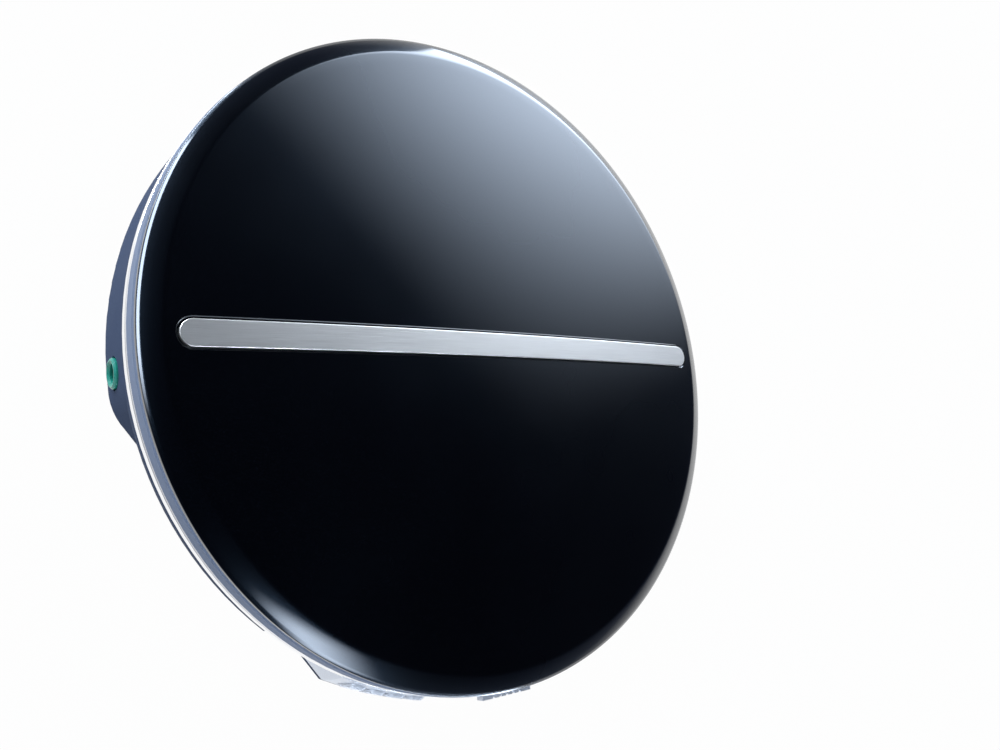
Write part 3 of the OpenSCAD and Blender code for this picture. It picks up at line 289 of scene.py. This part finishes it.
class Finish(Wiring):
    """One material: a Principled shader with its constants, and the nodes that vary it."""

    def __init__(self, name, colour, roughness, constants=None):
        self.material = bpy.data.materials.new(name)
        super().__init__(self.material)
        self.shader = self.tree.nodes["Principled BSDF"]
        self.give(self.shader, {"Base Color": (*colour, 1.0), "Roughness": roughness,
                                **(constants or {})})

    def noise(self, per_mm, detail=2.0, stretch=(1, 1, 1)):
        """Noise with about so many features to the millimetre."""
        place = self.node("ShaderNodeMapping", None, {
            "Vector": self.node("ShaderNodeTexCoord").output("Object"),
            "Scale": [s / MM for s in stretch]})
        return self.node("ShaderNodeTexNoise", None, {
            "Vector": place, "Scale": per_mm, "Detail": detail})

    def tint(self, signal, low, high):
        """Base Color that runs from low to high as signal goes from 0 to 1."""
        factor, colour_a, colour_b, colour_out = 0, 6, 7, 2
        mixed = self.node("ShaderNodeMix", {"data_type": "RGBA"}, {
            factor: signal, colour_a: (*low, 1.0), colour_b: (*high, 1.0)})
        self.give(self.shader, {"Base Color": mixed.output(colour_out)})

    def rough(self, signal, low, high):
        """Roughness that runs from low to high as signal goes from 0 to 1."""
        self.give(self.shader, {"Roughness": signal * (high - low) + low})

    def bump(self, height, depth_mm, strength):
        self.give(self.shader, {"Normal": self.node("ShaderNodeBump", None, {
            "Height": height, "Distance": depth_mm * MM, "Strength": strength})})

    def on(self, *pieces):
        """Gives the finish to new pieces, and to CAD nodes by their names."""
        for piece in pieces:
            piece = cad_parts[piece] if isinstance(piece, str) else piece
            if not piece.material_slots:
                piece.data.materials.append(self.material)
            for place in piece.material_slots:
                place.material = self.material


lacquer = Finish("lid_lacquer", (0.0004, 0.0005, 0.0011), 0.26, {
    "IOR": 1.35, "Specular Tint": (0.5, 0.72, 1.0, 1.0),
    "Coat Weight": 1.0, "Coat Roughness": 0.05, "Coat IOR": 1.55})
flake = lacquer.noise(5.0, detail=0.0)
lacquer.tint(flake.kept(0.55, 0.8), (0.0003, 0.0004, 0.0009), (0.0016, 0.002, 0.0034))
lacquer.rough(lacquer.noise(0.02, detail=3.0).kept(), 0.23, 0.29)
lacquer.bump(flake, depth_mm=0.004, strength=0.25)
lacquer.on(lid_shell)


# ---- Metal strip ----
# A flat bar of aluminium with round ends, brushed along its length, with its edges just
# broken. It is bent to the dome and glued into the pocket, and stands a little proud of it.
glue_line = 0.02 * MM
strip_proud = 0.25 * MM
strip_break = 0.12 * MM
strip = stadium("brushed_strip", strip_length, strip_width, drop=pocket_depth - glue_line,
                rises=[(pocket_depth + strip_proud - glue_line, 0)])
apply_modifier(strip, "BEVEL", width=strip_break, segments=3, limit_method="ANGLE",
               angle_limit=math.radians(60))
# The first facet of the broken edge turns by 15 degrees, and the face above it stays flat.
smooth(strip, degrees=10)
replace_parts(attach(strip, "lid"), "lid_strip")

brushed = Finish("brushed_metal", (0.97, 0.935, 0.88), 0.38, {"Metallic": 1.0})
streaks = brushed.noise(1.0, stretch=(0.12, 9, 1))
brushed.tint(streaks.kept(), (0.95, 0.915, 0.86), (1.0, 0.965, 0.91))
brushed.rough(streaks.kept(0.25, 0.75), 0.36, 0.40)
brushed.bump(streaks, depth_mm=0.016, strength=1.0)
brushed.on(strip)


# ---- Ring and rim mouldings ----
# The silver ring that carries the lid, the lower shell with its battery door, and the front
# fascia are moulded in plastic and sprayed with satin metallic paints. The thin band between
# the ring and the shell is bright plated.
def spray(paint, low, high, per_mm=5.0, depth_mm=0.003):
    """The fine grain of a sprayed paint, in its colour from low to high and in its surface."""
    grain = paint.noise(per_mm, detail=1.0)
    paint.tint(grain.kept(0.35, 0.7), low, high)
    paint.bump(grain, depth_mm, strength=0.3)


ring_paint = Finish("ring_paint", (0.148, 0.174, 0.232), 0.5, {"Specular IOR Level": 0.08})
spray(ring_paint, (0.138, 0.164, 0.222), (0.158, 0.184, 0.242))
ring_paint.on("casing_ring")

plating = Finish("bright_plating", (0.93, 0.94, 0.96), 0.12, {"Metallic": 1.0})
plating.rough(plating.noise(0.3).kept(), 0.09, 0.16)
plating.on("bright_band")

shell_paint = Finish("shell_paint", (0.042, 0.056, 0.092), 0.6, {"Specular IOR Level": 0.02})
spray(shell_paint, (0.038, 0.051, 0.085), (0.046, 0.061, 0.099))
shell_paint.rough(shell_paint.noise(0.05, detail=3.0).kept(), 0.55, 0.65)
shell_paint.on("lower_casing", "battery_door")

front_paint = Finish("front_paint", (0.62, 0.65, 0.70), 0.3, {"Metallic": 0.55})
spray(front_paint, (0.59, 0.62, 0.68), (0.66, 0.69, 0.74))
front_paint.on("front_fascia")


# ---- Headphone socket ----
# A green moulded collar round the mouth of the socket, so that it is found by its colour.
# The black block of the socket stands on the main board behind it.
collar_green = Finish("collar_green", (0.012, 0.20, 0.145), 0.25)
collar_green.rough(collar_green.noise(0.8).kept(), 0.2, 0.32)
collar_green.on("headphone_collar")


# ---- Keys, switches and display ----
# Satin silver caps on the front, a hold switch and a lid catch that slide, and a tinted
# display window with a grey-green panel behind it.
key_paint = Finish("key_paint", (0.86, 0.87, 0.90), 0.4, {"Metallic": 0.2})
spray(key_paint, (0.83, 0.84, 0.87), (0.89, 0.90, 0.93), per_mm=6.0, depth_mm=0.002)
key_paint.on("stop_key", "back_key", "play_key", "next_key", "quieter_key", "louder_key",
             "mode_key", "hold_switch", "lid_catch")

window = Finish("display_window", (0.02, 0.022, 0.026), 0.08)
window.rough(window.noise(0.1).kept(), 0.06, 0.1)
window.on("display_window")

panel = Finish("display_panel", (0.30, 0.34, 0.28), 0.2)
panel.tint(panel.noise(0.5).kept(), (0.28, 0.32, 0.26), (0.33, 0.37, 0.30))
panel.on("display_module")


# ---- Dark mouldings ----
# Tray, liner and carriage are moulded in graphite plastic, and turntable, sockets, switch and
# chips in black, all with a fine spark-eroded grain. Feet, pad and dampers are rubber.
graphite = Finish("graphite_plastic", (0.045, 0.048, 0.055), 0.5)
grain = graphite.noise(2.2, detail=3.0)
graphite.tint(graphite.noise(0.04).kept(), (0.042, 0.045, 0.052), (0.052, 0.056, 0.063))
graphite.rough(grain.kept(), 0.42, 0.58)
graphite.bump(grain, depth_mm=0.02, strength=0.35)
graphite.on("disc_tray", "lid_liner", "pickup_carriage")

black = Finish("black_plastic", (0.014, 0.015, 0.017), 0.42)
grain = black.noise(3.0, detail=3.0)
black.tint(grain.kept(), (0.012, 0.013, 0.015), (0.018, 0.019, 0.022))
black.rough(grain.kept(), 0.36, 0.5)
black.bump(grain, depth_mm=0.01, strength=0.3)
black.on("turntable", "headphone_socket", "power_socket", "lid_switch", "lens_holder",
         "board_chips")

rubber = Finish("rubber", (0.018, 0.018, 0.019), 0.8)
grain = rubber.noise(2.5, detail=4.0)
rubber.tint(grain.kept(), (0.014, 0.014, 0.015), (0.026, 0.026, 0.027))
rubber.bump(grain, depth_mm=0.03, strength=0.4)
rubber.on("rubber_feet", "turntable_pad", "chassis_dampers")


# ---- Metal pieces ----
# Pressed steel plate, key switches and motor cans, ground rods, plated screws, contacts,
# balls and springs, and a brass pinion on the shaft of the sled motor.
steel = Finish("rolled_steel", (0.55, 0.55, 0.57), 0.34, {"Metallic": 1.0})
streaks = steel.noise(1.0, detail=3.0, stretch=(0.15, 2.5, 1))
steel.tint(streaks.kept(), (0.50, 0.50, 0.52), (0.60, 0.60, 0.61))
steel.rough(streaks.kept(), 0.26, 0.42)
steel.bump(streaks, depth_mm=0.005, strength=0.3)
steel.on("drive_chassis", "spindle_motor", "sled_motor", "key_switches")

nickel = Finish("nickel_plate", (0.72, 0.71, 0.69), 0.2, {"Metallic": 1.0})
nickel.rough(nickel.noise(0.8).kept(), 0.16, 0.28)
nickel.on("battery_contacts", "battery_springs", "casing_screws", "damper_screws",
          "turntable_balls", "guide_rod_front", "guide_rod_rear", "hinge_pin")

brass = Finish("brass", (0.72, 0.55, 0.24), 0.26, {"Metallic": 1.0})
brass.rough(brass.noise(1.5).kept(), 0.2, 0.34)
brass.on("motor_pinion")


# ---- Gears and optics ----
# A white acetal gear wheel and rack that drive the sled, and a coated lens that shows
# blue-green.
acetal = Finish("acetal", (0.80, 0.79, 0.75), 0.38, {"Subsurface Weight": 0.1})
acetal.tint(acetal.noise(0.4).kept(), (0.77, 0.76, 0.72), (0.83, 0.82, 0.78))
acetal.on("drive_wheel", "sled_rack")

lens = Finish("coated_lens", (0.16, 0.28, 0.42), 0.03, {"Coat Weight": 1.0})
lens.tint(lens.noise(0.6).kept(), (0.12, 0.24, 0.40), (0.20, 0.34, 0.44))
lens.on("objective_lens")


# ---- Circuit boards ----
# Green solder resist over copper tracks, cream connectors and dark-sleeved capacitors. The
# main board stands on posts, and the thin key board is bent round behind the keys.
board = Finish("solder_resist", (0.015, 0.10, 0.045), 0.3)
board.tint(board.noise(0.6).kept(0.35, 0.65), (0.012, 0.085, 0.038), (0.022, 0.13, 0.06))
board.on("main_board", "key_board")

cream = Finish("connector_cream", (0.72, 0.68, 0.56), 0.45)
cream.tint(cream.noise(0.8).kept(), (0.69, 0.65, 0.53), (0.75, 0.71, 0.60))
cream.on("board_connectors")

sleeve = Finish("capacitor_sleeve", (0.02, 0.035, 0.10), 0.3)
sleeve.tint(sleeve.noise(0.8).kept(), (0.018, 0.03, 0.09), (0.026, 0.045, 0.12))
sleeve.on("board_capacitors")


# ---- Floor, studio light and backdrop ----
# A white floor that keeps a soft shadow, in a room that is bright near the floor and dark
# overhead. Two large soft panels light the lid, from behind on the right and from the front,
# and three long narrow ones, two of them low, draw bright lines along its edges.
floor_size = 8
floor_shade = 0.45
floor_glow_share = 0.98
deselect()
bpy.ops.mesh.primitive_plane_add(size=floor_size, location=(0, 0, 0))
floor = bpy.context.object
floor.name = "floor"
floor_white = bpy.data.materials.new("floor_white")
paper = Wiring(floor_white)
paper.tree.nodes.remove(paper.tree.nodes["Principled BSDF"])
rays = paper.node("ShaderNodeLightPath")
seen = rays.output("Is Camera Ray")
for ray in ("Is Glossy Ray", "Is Transmission Ray"):
    seen = paper.node("ShaderNodeMath", {"operation": "ADD", "use_clamp": True},
                      {0: seen, 1: rays.output(ray)})
matt = paper.node("ShaderNodeBsdfDiffuse", None, {
    "Color": (floor_shade, floor_shade, floor_shade, 1)})
glow = paper.node("ShaderNodeEmission", None, {"Color": (1, 1, 1, 1), "Strength": 1.0})
paper.give(paper.tree.nodes["Material Output"], {"Surface": paper.node(
    "ShaderNodeMixShader", None, {0: floor_glow_share * seen, 1: matt, 2: glow})})
floor.data.materials.append(floor_white)

world = bpy.data.worlds.new("studio")
bpy.context.scene.world = world
room = Wiring(world)
up_share = room.node("ShaderNodeSeparateXYZ", None, {
    0: room.node("ShaderNodeTexCoord").output("Generated")}).output("Z")
walls = room.node("ShaderNodeValToRGB", {"stops": (
    (0.02, (1, 1, 1)), (0.22, (0.03, 0.045, 0.09)), (0.6, (0.004, 0.004, 0.008)))},
    {"Fac": up_share})
room.give(room.tree.nodes["Background"], {"Color": walls, "Strength": 1.0})

panel_colour = (0.85, 0.97, 1.14)
panel_distance = 1.5


def soft_box(name, azimuth, elevation, across, up, roll, radiance, fades):
    """A panel that faces the player from an azimuth, turned from +X towards +Y, and an
    elevation, and is rolled so that its high-azimuth end rises. It covers across and up in
    degrees, and dims over a share of its width at the low and high azimuth, and over a share
    of its height at the foot and top."""
    a, e = math.radians(azimuth), math.radians(elevation)
    out = Vector((math.cos(a) * math.cos(e), math.sin(a) * math.cos(e), math.sin(e)))
    light = bpy.data.lights.new(name, "AREA")
    light.shape = "RECTANGLE"
    light.color = panel_colour
    light.size = 2 * panel_distance * math.tan(math.radians(across / 2))
    light.size_y = 2 * panel_distance * math.tan(math.radians(up / 2))
    light.energy = radiance * math.pi * light.size * light.size_y
    diffuser = Wiring(light)
    place = diffuser.node("ShaderNodeSeparateXYZ", None, {
        0: diffuser.node("ShaderNodeNewGeometry").output("Parametric")})
    edges = [place.output(axis).kept(start, abs(start - fade))
             for axis, start, fade in zip("XXYY", (0, 1, 0, 1), fades)]
    diffuser.give(diffuser.tree.nodes["Emission"], {"Strength": math.prod(edges)})
    lamp = bpy.data.objects.new(name, light)
    lamp.location = out * panel_distance
    lamp.rotation_mode = "QUATERNION"
    lamp.rotation_quaternion = out.to_track_quat("Z", "Y") @ Quaternion(
        (0, 0, 1), math.radians(roll))
    lamp.visible_camera = False
    bpy.context.scene.collection.objects.link(lamp)


soft_box("back_right_box", azimuth=38.6, elevation=30, across=53, up=55.6, roll=0,
         radiance=8.2, fades=(0.7, 0.04, 0.03, 0.63))
soft_box("left_strip", azimuth=148, elevation=29, across=66, up=9, roll=15,
         radiance=18, fades=(0.08, 0.3, 0.15, 0.15))
soft_box("rear_left_box", azimuth=120, elevation=4, across=40, up=8, roll=0,
         radiance=52, fades=(0.2, 0.2, 0.1, 0.1))
soft_box("front_box", azimuth=262, elevation=37, across=30, up=36, roll=0,
         radiance=10.5, fades=(0.45, 0.55, 0.2, 0.3))
soft_box("front_low_box", azimuth=290, elevation=3, across=34, up=6, roll=0,
         radiance=34, fades=(0.2, 0.2, 0.1, 0.1))

bpy.context.scene.view_settings.view_transform = "Standard"
